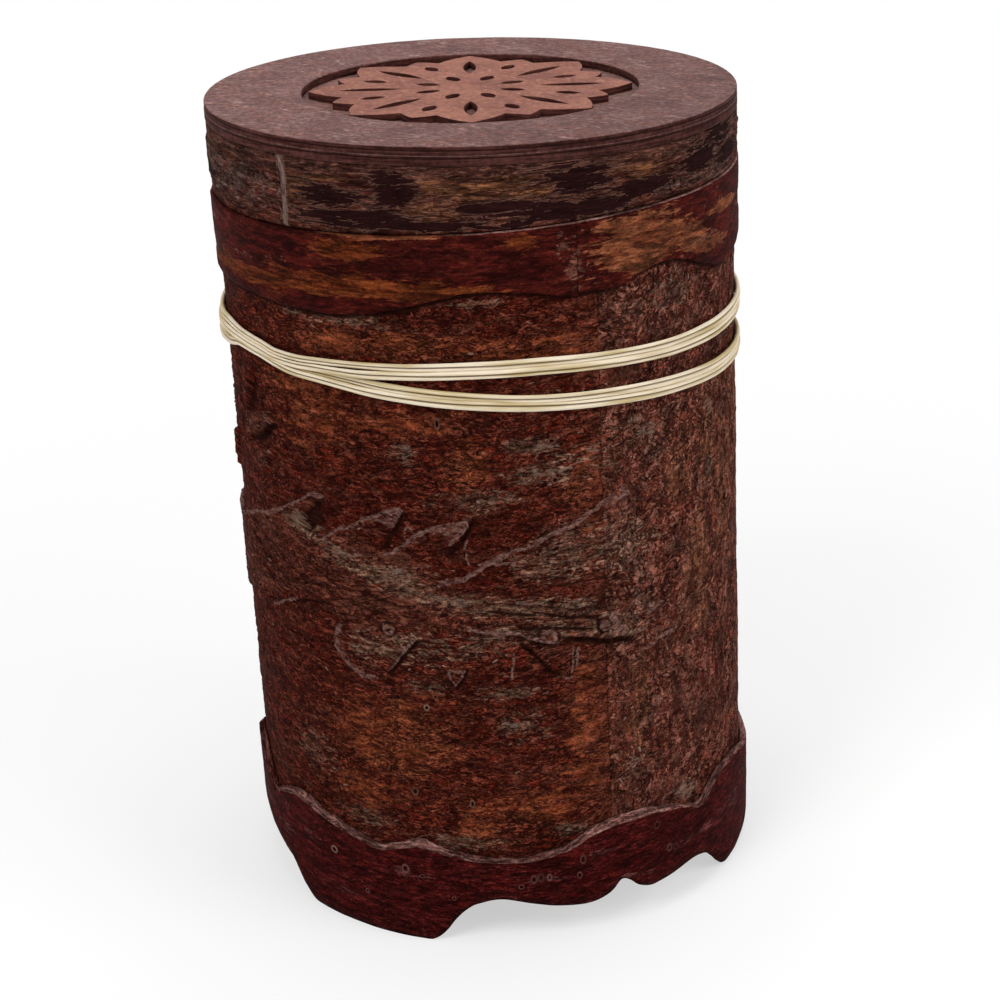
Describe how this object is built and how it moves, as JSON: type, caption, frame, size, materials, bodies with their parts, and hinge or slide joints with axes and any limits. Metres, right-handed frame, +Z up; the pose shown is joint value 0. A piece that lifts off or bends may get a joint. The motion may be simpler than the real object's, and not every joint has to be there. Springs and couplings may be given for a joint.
{
  "type": "bark container",
  "caption": "Round bark storage box with a lift-off lid, a scalloped foot band, a wavy collar and a raffia tie wound round its neck.",
  "frame": {"origin": "on the ground at the centre of the box", "axes": "+Z up along the box's axis, -Y towards the front of the picture, +X to its right"},
  "size_m": [0.0918, 0.092, 0.1418],
  "materials": {
    "inner_bark": "smooth inner side of the bark, matt",
    "rough_bark": "rough outer bark, red-brown with grey lichen, low carved relief",
    "collar_bark": "scraped smooth bark, maroon with ochre patches",
    "skirt_bark": "smooth dark maroon bark with pale pores and a pale cut edge",
    "lid_bark": "flaky dark bark over ochre under-layer",
    "lid_ply": "smooth purple-brown bark, matt",
    "rosette_bark": "sanded copper-brown bark with chip-cut edges",
    "raffia": "dry pale straw fibre with a soft sheen"
  },
  "bodies": {
    "box": {"base_disc": "inner_bark", "inner_liner": "inner_bark", "front_wall": "rough_bark", "back_wall": "rough_bark", "collar_band": "collar_bark", "skirt_band": "skirt_bark", "raffia_tie": "raffia", "raffia_knot": "raffia"},
    "lid": {"lid_rim": "lid_bark", "lid_under_disc": "lid_ply", "lid_top_ring": "lid_ply", "lid_rosette": "rosette_bark"}
  },
  "joints": [
    {"name": "lid_lift", "type": "slide", "parent": "box", "child": "lid", "axis": [0, 0, 1], "range_m": [0, 0.09]}
  ]
}
